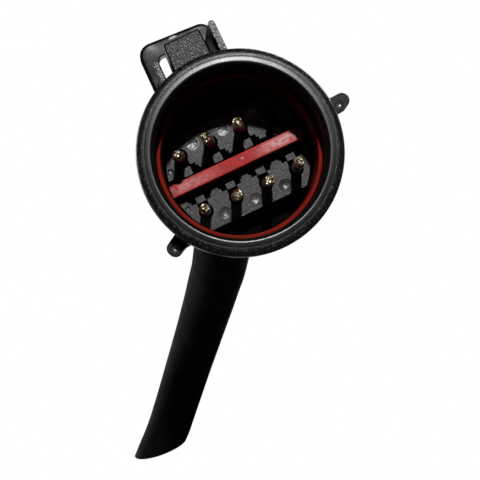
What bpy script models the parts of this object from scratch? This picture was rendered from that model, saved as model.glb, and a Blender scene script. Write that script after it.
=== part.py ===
"""Round sealed connector half with male contacts and a short lead, built piece by piece.

Units are metres. The mouth opens towards -Y, the clip loop points to +Z and the contact rows run along X.
The origin is the centre of the mouth's front rim, and depths are measured from it along +Y.
"""

import math

import bmesh
import bpy
from mathutils import Matrix, Vector

# Fits
FIT_GAP = 0.0003                # clearance between pieces that seat on each other
OVERLAP = 0.0005                # how far shapes run into each other before they are joined

# Contacts: two rows of round pins
PINS_PER_ROW = 4
PIN_PITCH = 0.0050
ROW_HEIGHT = 0.00455            # each row's distance from the axis
PIN_RADIUS = 0.00083
PIN_DOME = 0.0011               # length of the rounded tip
PIN_EXPOSED = 0.0089            # how far a pin stands out of the block's face
SHOULDER_RADIUS = 0.0012
SHOULDER_LENGTH = 0.0010
CRIMP_NECK = 0.0005             # between the shoulder and the crimp
CRIMP_RADIUS = 0.0011
CRIMP_LENGTH = 0.0030
EMPTY_PLACE = ("top", 4)        # this cavity has no contact, and a plug closes its wire hole

# Terminal block, seen at the bottom of the mouth
FACE_DEPTH = 0.0141
BLOCK_WALL = 0.00055            # outside the outermost contact cavity
BLOCK_FLAT_WALL = 0.0015        # between a contact cavity and the flats above and below
NOSE_LENGTH = 0.0045
FLANGE_LENGTH = 0.0032
SHOULDER_DEPTH = 0.0031         # from the face to the step that stops a contact
RECESS_HEIGHT = 0.00185         # half the height of the recess along the wedge
WINDOW_WIDTH = 0.0039
WINDOW_HEIGHT = 0.0024          # the wide window's outer edge, from the axis
STEP_WIDTH = 0.0032             # narrower part of the window
STEP_HEIGHT = 0.0029            # its outer edge, from the axis
WINDOW_DEPTH = 0.0050
CHANNEL_WIDTH = 0.0017          # from the window to the pin
FINGER_WIDTH = 0.0014
FINGER_THICKNESS = 0.0013
FINGER_HEIGHT = 0.00205         # finger's centre, from the axis
DIMPLE_RADIUS = 0.0010
DIMPLE_DEPTH = 0.0003
DIMPLE_HEIGHT = 0.0060
END_DIMPLE_RADIUS = 0.00045
END_DIMPLE_INSET = 0.0010       # from the block's round edge
END_DIMPLE_HEIGHT = 0.0031

# Wedge lock, the bar across the face
WEDGE_THICKNESS = 0.00185
WEDGE_PROUD = 0.0026
WEDGE_DEPTH = 0.0061            # how far it reaches into the block
WEDGE_END_GAP = 0.0005          # between the wedge's ends and the face seal
WEDGE_SLOPE = 0.0013            # length of the sloped ends
WEDGE_DROP = 0.0013             # how far the ends slope down
WEDGE_BEVEL = 0.0002

# Face seal, a sleeve inside the mouth
SEAL_WALL = 0.00062
SEAL_LENGTH = 0.0127
SEAL_LIP = 0.0002               # height of the two ribs inside the sleeve
SEAL_LIP_PITCH = 0.0025

# Shell
MOUTH_FLARE = 0.00058           # the mouth is wider than the bore by this
MOUTH_LEAD_IN = 0.0009          # depth of the flare
BORE_WALL = 0.0013
RIM_STEP = 0.00126              # the rim stands out from the body by this
RIM_LAND = 0.00068              # flat ring on the rim's front
RIM_GROOVE_WIDTH = 0.00013
RIM_GROOVE_DEPTH = 0.0001
RIM_ROUND = 0.00125             # depth of the rim's rounded outer edge
RIM_DEPTH = 0.0046
RIM_BACK_CHAMFER = 0.0004
BODY_TAPER = 0.0003
LEDGE_LIP = 0.0015              # the ledge's height inside the rear bore
LEDGE_LENGTH = 0.0012

# Side lugs
LUG_RADIUS = 0.0175             # of the tips, from the axis
LUG_WIDTH = 0.0022
LUG_DEPTH = 0.0042              # from the rim to the lugs' front faces
LUG_LENGTH = 0.0046
LUG_FILLET = 0.0010
LUG_DIMPLE = 0.0007
LUG_ANGLES = (2.5, 209.8)       # degrees from +X towards +Z

# Clip rails, loop and tongue, above the body
RAIL_SPACING = 0.00988
RAIL_WIDTH = 0.0009
RAIL_DEPTH = 0.0090
RAIL_RIGHT_HEIGHT = 0.0069      # above the body
RAIL_LEFT_HEIGHT = 0.0048
LOOP_DEPTH = 0.0243
LOOP_LENGTH = 0.0027
LOOP_WIDTH = 0.0124
LOOP_HEIGHT = 0.0109            # above the body
LOOP_BAR = 0.0026
LOOP_LEG = 0.0024
LOOP_CORNER = 0.0022
WINDOW_CORNER = 0.0009
POST_WIDTH = 0.0038             # post that carries the tongue
POST_LENGTH = 0.0020
POST_HEIGHT = 0.0050
TONGUE_WIDTH = 0.0059
TONGUE_HEIGHT = 0.0066          # top of the tongue's head, above the body
HEAD_HEIGHT = 0.0043
HEAD_LENGTH = 0.0075
ARM_WIDTH = 0.0032
ARM_THICKNESS = 0.0017
ARM_HEIGHT = 0.0037             # the arm's middle, above the body

# Rear seal, retainer and cover
WIRE_RADIUS = 0.0009
WIRE_SEAL_LENGTH = 0.0034
WIRE_SEAL_RIB = 0.00027
RETAINER_LENGTH = 0.0010
SKIRT_LENGTH = 0.0016
COVER_WALL = 0.0012
COVER_FLANGE = 0.0010
CONE_LENGTH = 0.0035
NOZZLE_LENGTH = 0.0020
NOZZLE_WALL = 0.0018

# Lead and its strain relief
LEAD_DIAMETER = 0.0116
LEAD_CORE_RING = 0.00281        # radius of the ring that the wires form inside the lead
BOOT_END_WALL = 0.0008
BOOT_RINGS = 5
BOOT_RING_DEPTH = 0.0006
BOOT_STEPS = 2                  # of the lead's own steps that the boot covers

# The free lead's middle line behind the nozzle, from there to the cut end
LEAD_ROUTE = (
    (0.0, 0.0000, 0.0), (-0.0002, 0.0050, -0.0002), (-0.0007, 0.0105, -0.0009), (-0.0016, 0.0170, -0.0021),
    (-0.0030, 0.0245, -0.0040), (-0.0047, 0.0325, -0.0064), (-0.0068, 0.0430, -0.0093),
    (-0.0087, 0.0520, -0.0119), (-0.0109, 0.0610, -0.0143), (-0.0132, 0.0700, -0.0169),
    (-0.0157, 0.0790, -0.0196), (-0.0185, 0.0880, -0.0226), (-0.0217, 0.0965, -0.0260),
    (-0.0253, 0.1050, -0.0298), (-0.0293, 0.1130, -0.0341), (-0.0338, 0.1208, -0.0389),
    (-0.0389, 0.1277, -0.0442), (-0.0437, 0.1329, -0.0486),
)

# Facets
TURN_STEPS = 72
SMALL_TURN_STEPS = 16
ARC_STEPS = 5
CORE_COLOURS = {
    "top": ((0.55, 0.04, 0.03), (0.02, 0.02, 0.02), (0.60, 0.55, 0.05)),
    "bottom": ((0.70, 0.70, 0.68), (0.10, 0.18, 0.45), (0.35, 0.16, 0.06), (0.60, 0.25, 0.04)),
}

# Radii, worked outwards from the contacts
LEAD_RADIUS = LEAD_DIAMETER / 2
PIN_CIRCLE = math.hypot((PINS_PER_ROW - 1) / 2 * PIN_PITCH, ROW_HEIGHT)
PIN_HOLE_RADIUS = PIN_RADIUS + FIT_GAP
CAVITY_RADIUS = max(SHOULDER_RADIUS, CRIMP_RADIUS) + FIT_GAP
BLOCK_RADIUS = PIN_CIRCLE + CAVITY_RADIUS + BLOCK_WALL
BLOCK_FLAT = ROW_HEIGHT + CAVITY_RADIUS + BLOCK_FLAT_WALL
SEAL_INNER_RADIUS = BLOCK_RADIUS + FIT_GAP
SEAL_OUTER_RADIUS = SEAL_INNER_RADIUS + SEAL_WALL
FLANGE_RADIUS = SEAL_OUTER_RADIUS
BORE_RADIUS = SEAL_OUTER_RADIUS + FIT_GAP
MOUTH_RADIUS = BORE_RADIUS + MOUTH_FLARE
BODY_RADIUS = BORE_RADIUS + BORE_WALL
RIM_RADIUS = BODY_RADIUS + RIM_STEP
WIRE_HOLE_RADIUS = WIRE_RADIUS + FIT_GAP
LEDGE_RADIUS = PIN_CIRCLE + WIRE_HOLE_RADIUS
REAR_BORE_RADIUS = LEDGE_RADIUS + LEDGE_LIP
REAR_FIT_RADIUS = REAR_BORE_RADIUS - FIT_GAP

# Depths, worked inwards from the mouth
FLANGE_FRONT = FACE_DEPTH + NOSE_LENGTH
FLANGE_REAR = FLANGE_FRONT + FLANGE_LENGTH
LEDGE_FRONT = FLANGE_REAR + FIT_GAP
LEDGE_REAR = LEDGE_FRONT + LEDGE_LENGTH
WIRE_SEAL_FRONT = LEDGE_REAR + FIT_GAP
WIRE_SEAL_REAR = WIRE_SEAL_FRONT + WIRE_SEAL_LENGTH
RETAINER_FRONT = WIRE_SEAL_REAR + FIT_GAP
RETAINER_REAR = RETAINER_FRONT + RETAINER_LENGTH
SKIRT_FRONT = RETAINER_REAR + FIT_GAP
SHELL_REAR = SKIRT_FRONT + SKIRT_LENGTH
COVER_FRONT = SHELL_REAR + FIT_GAP
CONE_FRONT = COVER_FRONT + COVER_FLANGE
CONE_REAR = CONE_FRONT + CONE_LENGTH
NOZZLE_REAR = CONE_REAR + NOZZLE_LENGTH
PIN_TIP = FACE_DEPTH - PIN_EXPOSED
SHOULDER_FRONT = FACE_DEPTH + SHOULDER_DEPTH + FIT_GAP
SHOULDER_REAR = SHOULDER_FRONT + SHOULDER_LENGTH
CRIMP_FRONT = SHOULDER_REAR + CRIMP_NECK
CRIMP_REAR = CRIMP_FRONT + CRIMP_LENGTH
LEAD_FRONT = CONE_REAR


def clear_scene():
    for old in list(bpy.data.objects):
        bpy.data.objects.remove(old, do_unlink=True)


def make_material(name, colour, roughness, metallic=0.0):
    material = bpy.data.materials.new(name)
    material.use_nodes = True
    shader = material.node_tree.nodes["Principled BSDF"]
    shader.inputs["Base Color"].default_value = (*colour, 1.0)
    shader.inputs["Roughness"].default_value = roughness
    shader.inputs["Metallic"].default_value = metallic
    return material


def add_object(name, shape, material=None):
    """Turns a bmesh into an object in the scene, shaded smooth except at its sharp edges."""
    mesh = bpy.data.meshes.new(name)
    bmesh.ops.recalc_face_normals(shape, faces=shape.faces)
    shape.to_mesh(mesh)
    shape.free()
    mesh.shade_smooth()
    mesh.set_sharp_from_angle(angle=math.radians(35))
    item = bpy.data.objects.new(name, mesh)
    bpy.context.scene.collection.objects.link(item)
    if material is not None:
        mesh.materials.append(material)
    return item


def turned(profile, steps=TURN_STEPS, closed=False):
    """Spins (radius, depth) points about the Y axis. An open profile starts and ends on the axis."""
    shape = bmesh.new()
    points = [shape.verts.new((radius, depth, 0.0)) for radius, depth in profile]
    edges = [shape.edges.new(pair) for pair in zip(points, points[1:])]
    if closed:
        edges.append(shape.edges.new((points[-1], points[0])))
    bmesh.ops.spin(
        shape, geom=points + edges, cent=(0, 0, 0), axis=(0, 1, 0), angle=math.tau, steps=steps, use_merge=True
    )
    bmesh.ops.remove_doubles(shape, verts=shape.verts, dist=1e-7)
    return shape


def prism(outline, start, end, along="Y"):
    """Extrudes a flat outline. Its points are (x, z) along Y, (x, y) along Z and (y, z) along X."""
    places = {
        "X": lambda a, b: (start, a, b),
        "Y": lambda a, b: (a, start, b),
        "Z": lambda a, b: (a, b, start),
    }
    step = Vector([end - start if axis == along else 0.0 for axis in "XYZ"])
    shape = bmesh.new()
    face = shape.faces.new([shape.verts.new(places[along](a, b)) for a, b in outline])
    moved = bmesh.ops.extrude_face_region(shape, geom=[face])["geom"]
    bmesh.ops.translate(shape, vec=step, verts=[v for v in moved if isinstance(v, bmesh.types.BMVert)])
    return shape


def box_outline(low_a, high_a, low_b, high_b):
    return [(low_a, low_b), (high_a, low_b), (high_a, high_b), (low_a, high_b)]


def arc(centre, radius, first, last, steps):
    """Points on a circle, by angles in degrees."""
    angles = [math.radians(first + (last - first) * step / steps) for step in range(steps + 1)]
    return [(centre[0] + radius * math.cos(a), centre[1] + radius * math.sin(a)) for a in angles]


def rounded(corners, steps=ARC_STEPS):
    """Outline through (a, b, radius) corners, with each corner rounded to its radius."""
    points = []
    for index, (a, b, radius) in enumerate(corners):
        here = Vector((a, b))
        if radius == 0:
            points.append((a, b))
            continue
        back = (Vector(corners[index - 1][:2]) - here).normalized()
        ahead = (Vector(corners[(index + 1) % len(corners)][:2]) - here).normalized()
        half = back.angle(ahead) / 2
        centre = here + (back + ahead).normalized() * radius / math.sin(half)
        first = here + back * radius / math.tan(half) - centre
        swing = math.degrees(first.angle_signed(here + ahead * radius / math.tan(half) - centre))
        start = math.degrees(math.atan2(first.y, first.x))
        points += arc(centre, radius, start, start - swing, steps)
    return points


def combine(target, shape, operation):
    """Cuts a shape out of an object, or joins it on, and keeps the result as the object's mesh."""
    tool = add_object("tool", shape)
    step = target.modifiers.new("combine", "BOOLEAN")
    step.operation = operation
    step.object = tool
    result = bpy.data.meshes.new_from_object(target.evaluated_get(bpy.context.evaluated_depsgraph_get()))
    target.modifiers.remove(step)
    target.data = result
    bpy.data.objects.remove(tool, do_unlink=True)


def cut(target, shape):
    combine(target, shape, "DIFFERENCE")


def join(target, shape):
    combine(target, shape, "UNION")


def contact_places():
    """(row name, number, x, z) of every contact, counted from the left."""
    for row, side in (("top", 1), ("bottom", -1)):
        for number in range(PINS_PER_ROW):
            yield row, number + 1, (number - (PINS_PER_ROW - 1) / 2) * PIN_PITCH, side * ROW_HEIGHT


def rod(x, z, radius, start, end, steps=SMALL_TURN_STEPS):
    """A round bar along Y."""
    return prism(arc((x, z), radius, 0, 360 * (steps - 1) / steps, steps - 1), start, end)


def make_shell(material):
    land = MOUTH_RADIUS + RIM_LAND
    crown = land + RIM_GROOVE_WIDTH
    groove_slope = RIM_GROOVE_WIDTH / 4
    bend = [
        (crown + (RIM_RADIUS - crown) * math.sin(a), RIM_ROUND * (1 - math.cos(a)))
        for a in (math.radians(90 * step / ARC_STEPS) for step in range(ARC_STEPS + 1))
    ]
    outside = [
        (0, 0), (land, 0), (land + groove_slope, RIM_GROOVE_DEPTH), (crown - groove_slope, RIM_GROOVE_DEPTH),
        *bend,
        (RIM_RADIUS, RIM_DEPTH - RIM_BACK_CHAMFER), (RIM_RADIUS - RIM_BACK_CHAMFER, RIM_DEPTH),
        (BODY_RADIUS, RIM_DEPTH), (BODY_RADIUS - BODY_TAPER, SHELL_REAR), (0, SHELL_REAR),
    ]
    shell = add_object("shell", turned(outside), material)
    for shape in (clip_loop(), *clip_rails(), tongue_post()):
        join(shell, shape)
    for angle in LUG_ANGLES:
        join(shell, side_lug(angle))
        cut(shell, lug_dimple(angle))
    past_rear = SHELL_REAR + OVERLAP
    bore = [
        (0, -MOUTH_LEAD_IN), (MOUTH_RADIUS + MOUTH_FLARE, -MOUTH_LEAD_IN), (BORE_RADIUS, MOUTH_LEAD_IN),
        (BORE_RADIUS, LEDGE_FRONT), (LEDGE_RADIUS, LEDGE_FRONT), (LEDGE_RADIUS, LEDGE_REAR),
        (REAR_BORE_RADIUS, LEDGE_REAR), (REAR_BORE_RADIUS, past_rear), (0, past_rear),
    ]
    cut(shell, turned(bore))


def clip_loop():
    """Arch over the body with a window that the clip's tab passes through."""
    outer = LOOP_WIDTH / 2
    inner = outer - LOOP_LEG
    top = BODY_RADIUS + LOOP_HEIGHT
    under = top - LOOP_BAR
    arch = rounded([
        (-outer, 0, 0), (-outer, top, LOOP_CORNER), (outer, top, LOOP_CORNER), (outer, 0, 0),
        (inner, 0, 0), (inner, under, WINDOW_CORNER), (-inner, under, WINDOW_CORNER), (-inner, 0, 0),
    ])
    return prism(arch, LOOP_DEPTH, LOOP_DEPTH + LOOP_LENGTH)


def clip_rails():
    """Two guide walls that run back to the loop. The right one is taller."""
    end = LOOP_DEPTH + OVERLAP
    for side, height in ((1, RAIL_RIGHT_HEIGHT), (-1, RAIL_LEFT_HEIGHT)):
        middle = side * RAIL_SPACING / 2
        top = BODY_RADIUS + height
        wall = rounded([
            (middle - RAIL_WIDTH / 2, 0, 0), (middle + RAIL_WIDTH / 2, 0, 0),
            (middle + RAIL_WIDTH / 2, top, RAIL_WIDTH / 3), (middle - RAIL_WIDTH / 2, top, RAIL_WIDTH / 3),
        ], 2)
        yield prism(wall, RAIL_DEPTH, end)


def tongue_post():
    """Post in front of the loop's window that the tongue's root sits against."""
    start = LOOP_DEPTH + OVERLAP - POST_LENGTH
    outline = box_outline(-POST_WIDTH / 2, POST_WIDTH / 2, 0, BODY_RADIUS + POST_HEIGHT)
    return prism(outline, start, start + POST_LENGTH)


def side_lug(angle):
    """Round-ended lug behind the rim, with a fillet on each side where it leaves the body."""
    half = LUG_WIDTH / 2
    root = BODY_RADIUS + LUG_FILLET
    spread = half + LUG_FILLET
    upper = arc((root, spread), LUG_FILLET, 180, 270, ARC_STEPS)
    tip = arc((LUG_RADIUS - half, 0), half, 90, -90, 2 * ARC_STEPS)
    lower = arc((root, -spread), LUG_FILLET, 90, 180, ARC_STEPS)
    base = BORE_RADIUS
    shape = prism([(base, spread), *upper, *tip, *lower, (base, -spread)], LUG_DEPTH, LUG_DEPTH + LUG_LENGTH)
    bmesh.ops.transform(shape, matrix=Matrix.Rotation(-math.radians(angle), 4, "Y"), verts=shape.verts)
    return shape


def lug_dimple(angle):
    """Small hollow in a lug's front face."""
    middle = (RIM_RADIUS + LUG_RADIUS) / 2
    shape = rod(middle, 0, LUG_DIMPLE, LUG_DEPTH - LUG_DIMPLE, LUG_DEPTH + LUG_DIMPLE, SMALL_TURN_STEPS // 2)
    bmesh.ops.transform(shape, matrix=Matrix.Rotation(-math.radians(angle), 4, "Y"), verts=shape.verts)
    return shape


def make_tongue(material):
    """Latch tongue with a thick head. Its object's origin is on the line that it bends about."""
    top = BODY_RADIUS + TONGUE_HEIGHT
    arm_middle = BODY_RADIUS + ARM_HEIGHT
    root = LOOP_DEPTH + OVERLAP - POST_LENGTH - FIT_GAP
    head = prism(box_outline(-TONGUE_WIDTH / 2, TONGUE_WIDTH / 2, top - HEAD_HEIGHT, top), RAIL_DEPTH,
                 RAIL_DEPTH + HEAD_LENGTH)
    arm = prism(box_outline(-ARM_WIDTH / 2, ARM_WIDTH / 2, arm_middle - ARM_THICKNESS / 2,
                            arm_middle + ARM_THICKNESS / 2), RAIL_DEPTH + HEAD_LENGTH - OVERLAP, root)
    tongue = add_object("latch_tongue", head, material)
    join(tongue, arm)
    pivot = Vector((0, root, arm_middle))
    tongue.data.transform(Matrix.Translation(-pivot))
    tongue.location = pivot


def make_seal(material):
    """Silicone sleeve against the bore, with two ribs inside and a rounded front edge."""
    rear = FLANGE_FRONT - FIT_GAP
    front = rear - SEAL_LENGTH
    round_off = SEAL_WALL / 3
    inside = []
    for number in (2, 1):
        middle = front + number * SEAL_LIP_PITCH
        inside += [
            (SEAL_INNER_RADIUS, middle + 2 * SEAL_LIP), (SEAL_INNER_RADIUS - SEAL_LIP, middle),
            (SEAL_INNER_RADIUS, middle - 2 * SEAL_LIP),
        ]
    profile = [
        (SEAL_INNER_RADIUS + round_off, front), (SEAL_OUTER_RADIUS - round_off, front),
        (SEAL_OUTER_RADIUS, front + round_off), (SEAL_OUTER_RADIUS, rear), (SEAL_INNER_RADIUS, rear),
        *inside, (SEAL_INNER_RADIUS, front + round_off),
    ]
    add_object("face_seal", turned(profile, closed=True), material)


def make_block(material):
    """Terminal block: nose with flats, rear flange, lock windows, fingers and dimples."""
    edge = math.degrees(math.asin(BLOCK_FLAT / BLOCK_RADIUS))
    sides = 3 * ARC_STEPS
    nose = [
        *arc((0, 0), BLOCK_RADIUS, -edge, edge, sides), *arc((0, 0), BLOCK_RADIUS, 180 - edge, 180 + edge, sides)
    ]
    block = add_object("terminal_block", prism(nose, FACE_DEPTH, FLANGE_FRONT + OVERLAP), material)
    flange = [(0, FLANGE_FRONT), (FLANGE_RADIUS, FLANGE_FRONT), (FLANGE_RADIUS, FLANGE_REAR), (0, FLANGE_REAR)]
    join(block, turned(flange))
    slot = WEDGE_THICKNESS / 2 + FIT_GAP
    reach = SEAL_INNER_RADIUS - WEDGE_END_GAP + FIT_GAP
    above = FACE_DEPTH - OVERLAP
    cut(block, prism(box_outline(-reach, reach, -slot, slot), above, FACE_DEPTH + WEDGE_DEPTH + FIT_GAP))
    recess = box_outline(-reach, reach, -RECESS_HEIGHT, RECESS_HEIGHT)
    cut(block, prism(recess, above, FACE_DEPTH + WINDOW_DEPTH))
    for row, number, x, z in contact_places():
        cut(block, lock_window(x, math.copysign(1, z), slot / 2, above))
        cut(block, rod(x, z, CAVITY_RADIUS, FACE_DEPTH + SHOULDER_DEPTH, FLANGE_REAR + OVERLAP))
        middle = math.copysign(FINGER_HEIGHT, z)
        half = FINGER_WIDTH / 2
        finger = box_outline(x - half, x + half, middle - FINGER_THICKNESS / 2, middle + FINGER_THICKNESS / 2)
        join(block, prism(finger, FACE_DEPTH, FACE_DEPTH + WINDOW_DEPTH + OVERLAP))
    gaps = PINS_PER_ROW - 1
    for side in (1, -1):
        for number in range(gaps):
            cut(block, dimple((number - (gaps - 1) / 2) * PIN_PITCH, side * DIMPLE_HEIGHT, DIMPLE_RADIUS))
        for end in (1, -1):
            x = end * (BLOCK_RADIUS - END_DIMPLE_INSET)
            cut(block, dimple(x, side * END_DIMPLE_HEIGHT, END_DIMPLE_RADIUS))


def lock_window(x, side, start, above):
    """Stepped opening: a wide window by the wedge, a narrower step, then a channel out to the pin's hole."""
    half = WINDOW_WIDTH / 2
    step = STEP_WIDTH / 2
    lane = CHANNEL_WIDTH / 2
    meet = math.degrees(math.acos(min(1, lane / PIN_HOLE_RADIUS)))
    hole = arc((x, ROW_HEIGHT), PIN_HOLE_RADIUS, -meet, 180 + meet, 2 * ARC_STEPS)
    outline = [
        (x - half, start), (x + half, start), (x + half, WINDOW_HEIGHT), (x + step, WINDOW_HEIGHT),
        (x + step, STEP_HEIGHT), (x + lane, STEP_HEIGHT), *hole, (x - lane, STEP_HEIGHT),
        (x - step, STEP_HEIGHT), (x - step, WINDOW_HEIGHT), (x - half, WINDOW_HEIGHT),
    ]
    return prism([(a, side * b) for a, b in outline], above, FACE_DEPTH + WINDOW_DEPTH)


def dimple(x, z, radius):
    """Shallow round hollow in the block's face."""
    ball = (radius ** 2 + DIMPLE_DEPTH ** 2) / (2 * DIMPLE_DEPTH)
    shape = bmesh.new()
    bmesh.ops.create_uvsphere(shape, u_segments=SMALL_TURN_STEPS, v_segments=SMALL_TURN_STEPS, radius=ball)
    bmesh.ops.rotate(shape, matrix=Matrix.Rotation(math.radians(90), 3, "X"), verts=shape.verts)
    bmesh.ops.translate(shape, vec=(x, FACE_DEPTH + DIMPLE_DEPTH - ball, z), verts=shape.verts)
    return shape


def make_wedge(material):
    """Bar that blocks the lock fingers. Its ends slope down from its front face."""
    end = SEAL_INNER_RADIUS - WEDGE_END_GAP
    slope = end - WEDGE_SLOPE
    front = FACE_DEPTH - WEDGE_PROUD
    rear = FACE_DEPTH + WEDGE_DEPTH
    outline = [
        (-end, front + WEDGE_DROP), (-slope, front), (slope, front), (end, front + WEDGE_DROP),
        (end, rear), (-end, rear),
    ]
    shape = prism(outline, -WEDGE_THICKNESS / 2, WEDGE_THICKNESS / 2, "Z")
    bmesh.ops.recalc_face_normals(shape, faces=shape.faces)
    long_edges = [e for e in shape.edges if all(abs(v.co.y - front) < 1e-7 for v in e.verts)]
    bmesh.ops.bevel(shape, geom=long_edges, offset=WEDGE_BEVEL, segments=2, profile=0.5, affect="EDGES")
    add_object("wedge_lock", shape, material)


def make_contact(row, number, x, z, material):
    """Turned pin with a domed tip, a stop shoulder and a crimp for its wire."""
    dome = [
        (PIN_RADIUS * math.sin(a), PIN_TIP + PIN_DOME * (1 - math.cos(a)))
        for a in (math.radians(90 * step / ARC_STEPS) for step in range(ARC_STEPS + 1))
    ]
    profile = [
        *dome, (PIN_RADIUS, SHOULDER_FRONT), (SHOULDER_RADIUS, SHOULDER_FRONT), (SHOULDER_RADIUS, SHOULDER_REAR),
        (PIN_RADIUS, SHOULDER_REAR), (PIN_RADIUS, CRIMP_FRONT), (CRIMP_RADIUS, CRIMP_FRONT),
        (CRIMP_RADIUS, CRIMP_REAR), (0, CRIMP_REAR),
    ]
    pin = add_object(f"pin_{row}_{number}", turned(profile, SMALL_TURN_STEPS), material)
    pin.location = (x, 0, z)


def drill_wire_holes(target, start, end):
    for row, number, x, z in contact_places():
        cut(target, rod(x, z, WIRE_HOLE_RADIUS, start - OVERLAP, end + OVERLAP))


def make_wire_seal(material):
    """Grommet with one hole for each wire and two ribs round its edge."""
    core = REAR_FIT_RADIUS - WIRE_SEAL_RIB
    quarter = WIRE_SEAL_LENGTH / 4
    profile = [(0, WIRE_SEAL_FRONT), (core, WIRE_SEAL_FRONT)]
    for middle in (WIRE_SEAL_FRONT + quarter, WIRE_SEAL_REAR - quarter):
        profile += [(core, middle - quarter / 2), (REAR_FIT_RADIUS, middle), (core, middle + quarter / 2)]
    profile += [(core, WIRE_SEAL_REAR), (0, WIRE_SEAL_REAR)]
    seal = add_object("wire_seal", turned(profile), material)
    drill_wire_holes(seal, WIRE_SEAL_FRONT, WIRE_SEAL_REAR)


def make_plug(x, z, material):
    """Peg that closes the grommet's hole for the empty cavity."""
    tip = WIRE_RADIUS / 3
    profile = [
        (0, WIRE_SEAL_FRONT - tip), (WIRE_RADIUS - tip, WIRE_SEAL_FRONT - tip), (WIRE_RADIUS, WIRE_SEAL_FRONT),
        (WIRE_RADIUS, RETAINER_REAR), (0, RETAINER_REAR),
    ]
    plug = add_object("cavity_plug", turned(profile, SMALL_TURN_STEPS), material)
    plug.location = (x, 0, z)


def make_retainer(material):
    """Plate that keeps the grommet in the rear bore."""
    profile = [
        (0, RETAINER_FRONT), (REAR_FIT_RADIUS, RETAINER_FRONT),
        (REAR_FIT_RADIUS, RETAINER_REAR), (0, RETAINER_REAR),
    ]
    plate = add_object("seal_retainer", turned(profile), material)
    drill_wire_holes(plate, RETAINER_FRONT, RETAINER_REAR)


def make_cover(material):
    """Hollow rear cover: a skirt inside the shell, a flange, a cone and the lead's nozzle."""
    lead_hole = LEAD_RADIUS + FIT_GAP
    nozzle = lead_hole + NOZZLE_WALL
    chamber = REAR_FIT_RADIUS - COVER_WALL
    profile = [
        (chamber, SKIRT_FRONT), (REAR_FIT_RADIUS, SKIRT_FRONT), (REAR_FIT_RADIUS, COVER_FRONT),
        (BODY_RADIUS - BODY_TAPER, COVER_FRONT), (BODY_RADIUS - BODY_TAPER, CONE_FRONT), (nozzle, CONE_REAR),
        (nozzle, NOZZLE_REAR), (lead_hole, NOZZLE_REAR), (lead_hole, CONE_REAR), (chamber, CONE_FRONT),
    ]
    add_object("rear_cover", turned(profile, closed=True), material)


def make_tube(name, points, radius, sides_setting, material):
    """Round tube along straight steps between points, with closed ends."""
    curve = bpy.data.curves.new(name, "CURVE")
    curve.dimensions = "3D"
    curve.bevel_depth = radius
    curve.bevel_resolution = sides_setting
    curve.use_fill_caps = True
    line = curve.splines.new("POLY")
    line.points.add(len(points) - 1)
    for slot, point in zip(line.points, points):
        slot.co = (*point, 1.0)
    line.use_smooth = True
    curve.materials.append(material)
    item = bpy.data.objects.new(name, curve)
    bpy.context.scene.collection.objects.link(item)


def make_core_wire(row, number, x, z, colour):
    """Insulated wire from a contact's crimp, through the grommet, to its place in the lead."""
    start = CRIMP_REAR + FIT_GAP
    bend = RETAINER_REAR
    end = LEAD_FRONT - FIT_GAP
    angle = math.atan2(z, x)
    octant = math.tau / (2 * PINS_PER_ROW)
    slot = (math.floor(angle / octant) + 0.5) * octant
    home = Vector((LEAD_CORE_RING * math.cos(slot), end, LEAD_CORE_RING * math.sin(slot)))
    points = [(x, start, z)]
    steps = 2 * ARC_STEPS
    for step in range(steps + 1):
        share = step / steps
        ease = share * share * (3 - 2 * share)
        points.append((x + (home.x - x) * ease, bend + (end - bend) * share, z + (home.z - z) * ease))
    material = make_material(f"insulation_{row}_{number}", colour, 0.5)
    make_tube(f"core_wire_{row}_{number}", points, WIRE_RADIUS, 2, material)


def lead_steps():
    """The lead's middle line, one point for each diameter of its length, read from a smooth curve."""
    knots = [Vector((x, NOZZLE_REAR + y, z)) for x, y, z in LEAD_ROUTE]
    ends = [2 * knots[0] - knots[1], *knots, 2 * knots[-1] - knots[-2]]
    fine = []
    pieces = 12
    for before, here, ahead, after in zip(ends, ends[1:], ends[2:], ends[3:]):
        for piece in range(pieces):
            t = piece / pieces
            fine.append(
                (2 * here + (ahead - before) * t + (2 * before - 5 * here + 4 * ahead - after) * t * t
                 + (3 * here - before - 3 * ahead + after) * t ** 3) / 2
            )
    fine.append(knots[-1])
    lengths = [(b - a).length for a, b in zip(fine, fine[1:])]
    count = round(sum(lengths) / LEAD_DIAMETER)
    spacing = sum(lengths) / count
    points, walked = [fine[0]], 0.0
    for point, length in zip(fine[1:], lengths):
        walked += length
        if walked >= spacing * len(points) and len(points) < count:
            points.append(point)
    return [*points, fine[-1]]


def make_lead(material):
    """Round lead from inside the nozzle to its cut end."""
    make_tube("lead_cable", [Vector((0, LEAD_FRONT, 0)), *lead_steps()], LEAD_RADIUS, 4, material)


def make_boot(material):
    """Ringed strain relief round the lead's first stretch. It follows the lead's own straight steps."""
    path = lead_steps()[:BOOT_STEPS + 1]
    path[0] = path[0] + Vector((0, FIT_GAP, 0))
    bore = LEAD_RADIUS + FIT_GAP
    wide = bore + NOZZLE_WALL
    narrow = bore + BOOT_END_WALL
    stations = []
    per_step = 2 * BOOT_RINGS
    total = per_step * BOOT_STEPS
    for index, (first, last) in enumerate(zip(path, path[1:])):
        for piece in range(per_step + (index == BOOT_STEPS - 1)):
            number = index * per_step + piece
            outer = wide + (narrow - wide) * number / total
            dip = BOOT_RING_DEPTH * (outer - bore) / NOZZLE_WALL if number % 4 in (2, 3) else 0.0
            stations.append((first.lerp(last, piece / per_step), outer - dip))
    shape = bmesh.new()
    outside = [ring(shape, stations, index, radius) for index, (_, radius) in enumerate(stations)]
    inside = [ring(shape, stations, index, bore) for index in range(0, len(stations), per_step)]
    for loops in (outside, inside):
        for first, last in zip(loops, loops[1:]):
            fill_between(shape, first, last)
    fill_between(shape, outside[0], inside[0])
    fill_between(shape, outside[-1], inside[-1])
    add_object("strain_relief_boot", shape, material)


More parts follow.
